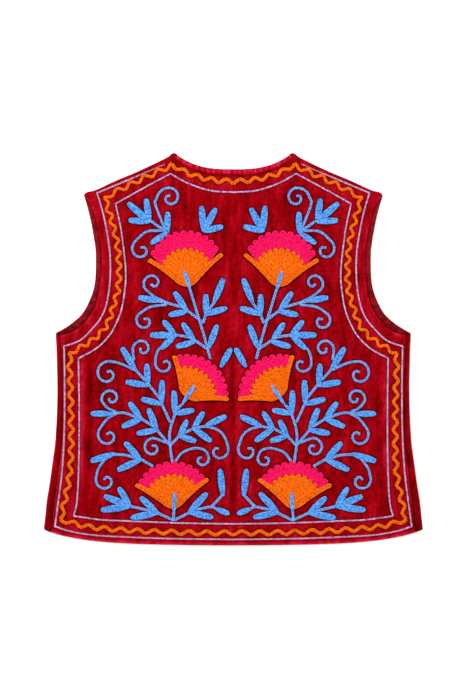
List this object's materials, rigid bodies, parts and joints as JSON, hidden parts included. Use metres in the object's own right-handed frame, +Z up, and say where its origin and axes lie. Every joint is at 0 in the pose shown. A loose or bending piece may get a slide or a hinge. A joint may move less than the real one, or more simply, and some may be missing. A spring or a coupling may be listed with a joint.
{
  "type": "embroidered folk vest",
  "caption": "Sleeveless velvet folk vest laid flat, back up, with raised chain-stitch fan flowers, leafy stems, curling tendrils and a zigzag border.",
  "frame": {"origin": "on the surface that the vest lies on, under the middle of its width and of its length", "axes": "+Y from the hem to the neck, +X to the wearer's right, +Z up out of the surface, through the fronts and then the back"},
  "size_m": [0.5126, 0.53, 0.0087],
  "materials": {
    "velvet_red": "deep red cotton velvet, soft nap with a sheen",
    "thread_blue": "blue chain-stitch yarn",
    "thread_lavender": "lavender chain-stitch yarn",
    "thread_orange": "bright orange chain-stitch yarn",
    "thread_pink": "hot pink chain-stitch yarn"
  },
  "bodies": {
    "root": {"back_panel": "velvet_red", "front_left_panel": "velvet_red", "front_right_panel": "velvet_red"}
  },
  "joints": []
}
